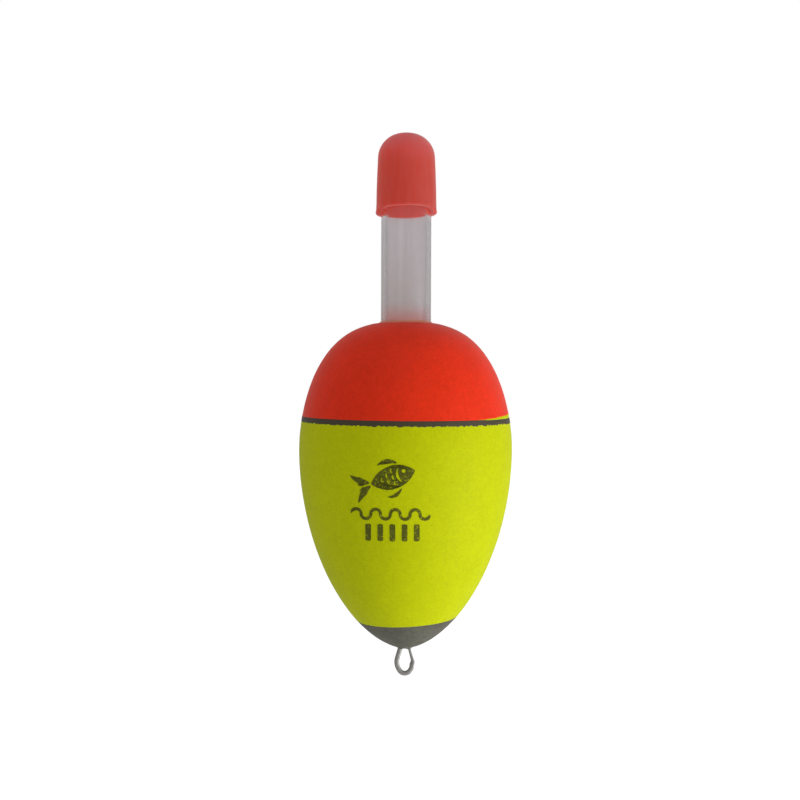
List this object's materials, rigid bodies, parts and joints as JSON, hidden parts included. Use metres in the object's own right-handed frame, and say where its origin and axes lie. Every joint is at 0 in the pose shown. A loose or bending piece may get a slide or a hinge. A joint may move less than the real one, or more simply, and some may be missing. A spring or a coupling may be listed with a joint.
{
  "type": "fishing bobber float",
  "caption": "Egg-shaped foam bobber float with a clear light-stick tube, a soft pull-off tip cap and a wire line eye.",
  "frame": {"origin": "centre of the line eye's opening, at its widest place, 3 mm below the body's lowest point", "axes": "+Z along the float's axis, from the line eye up to the tip cap; the line eye lies in the XZ plane, and the printed mark faces -Y"},
  "size_m": [0.045, 0.045, 0.1148],
  "materials": {
    "foam": "closed-cell foam, matte",
    "yellow_paint": "fluorescent yellow-green flexible paint, matte, fine orange-peel texture",
    "red_paint": "fluorescent red flexible paint, matte",
    "stripe_paint": "dark grey flexible paint, matte, ragged lower edge",
    "grey_paint": "grey flexible paint, matte",
    "ink": "dark pad-printed ink, slightly worn",
    "clear_tube": "clear, slightly hazy extruded plastic",
    "plug_rubber": "white rubber, matte",
    "glue": "set clear adhesive tinted by the red paint",
    "red_vinyl": "soft translucent red vinyl, satin",
    "steel_wire": "drawn stainless wire",
    "grey_glue": "grey epoxy, satin"
  },
  "bodies": {
    "float": {"foam_body": "foam", "yellow_coat": "yellow_paint", "red_coat": "red_paint", "pinstripe": "stripe_paint", "tip_coat": "grey_paint", "printed_mark": "ink", "light_tube": "clear_tube", "tube_plug": "plug_rubber", "tube_glue": "glue", "line_eye": "steel_wire", "eye_glue": "grey_glue"},
    "cap": {"tip_cap": "red_vinyl"}
  },
  "joints": [
    {"name": "cap_slide", "type": "slide", "parent": "float", "child": "cap", "axis": [0, 0, 1], "range_m": [0, 0.09]}
  ]
}
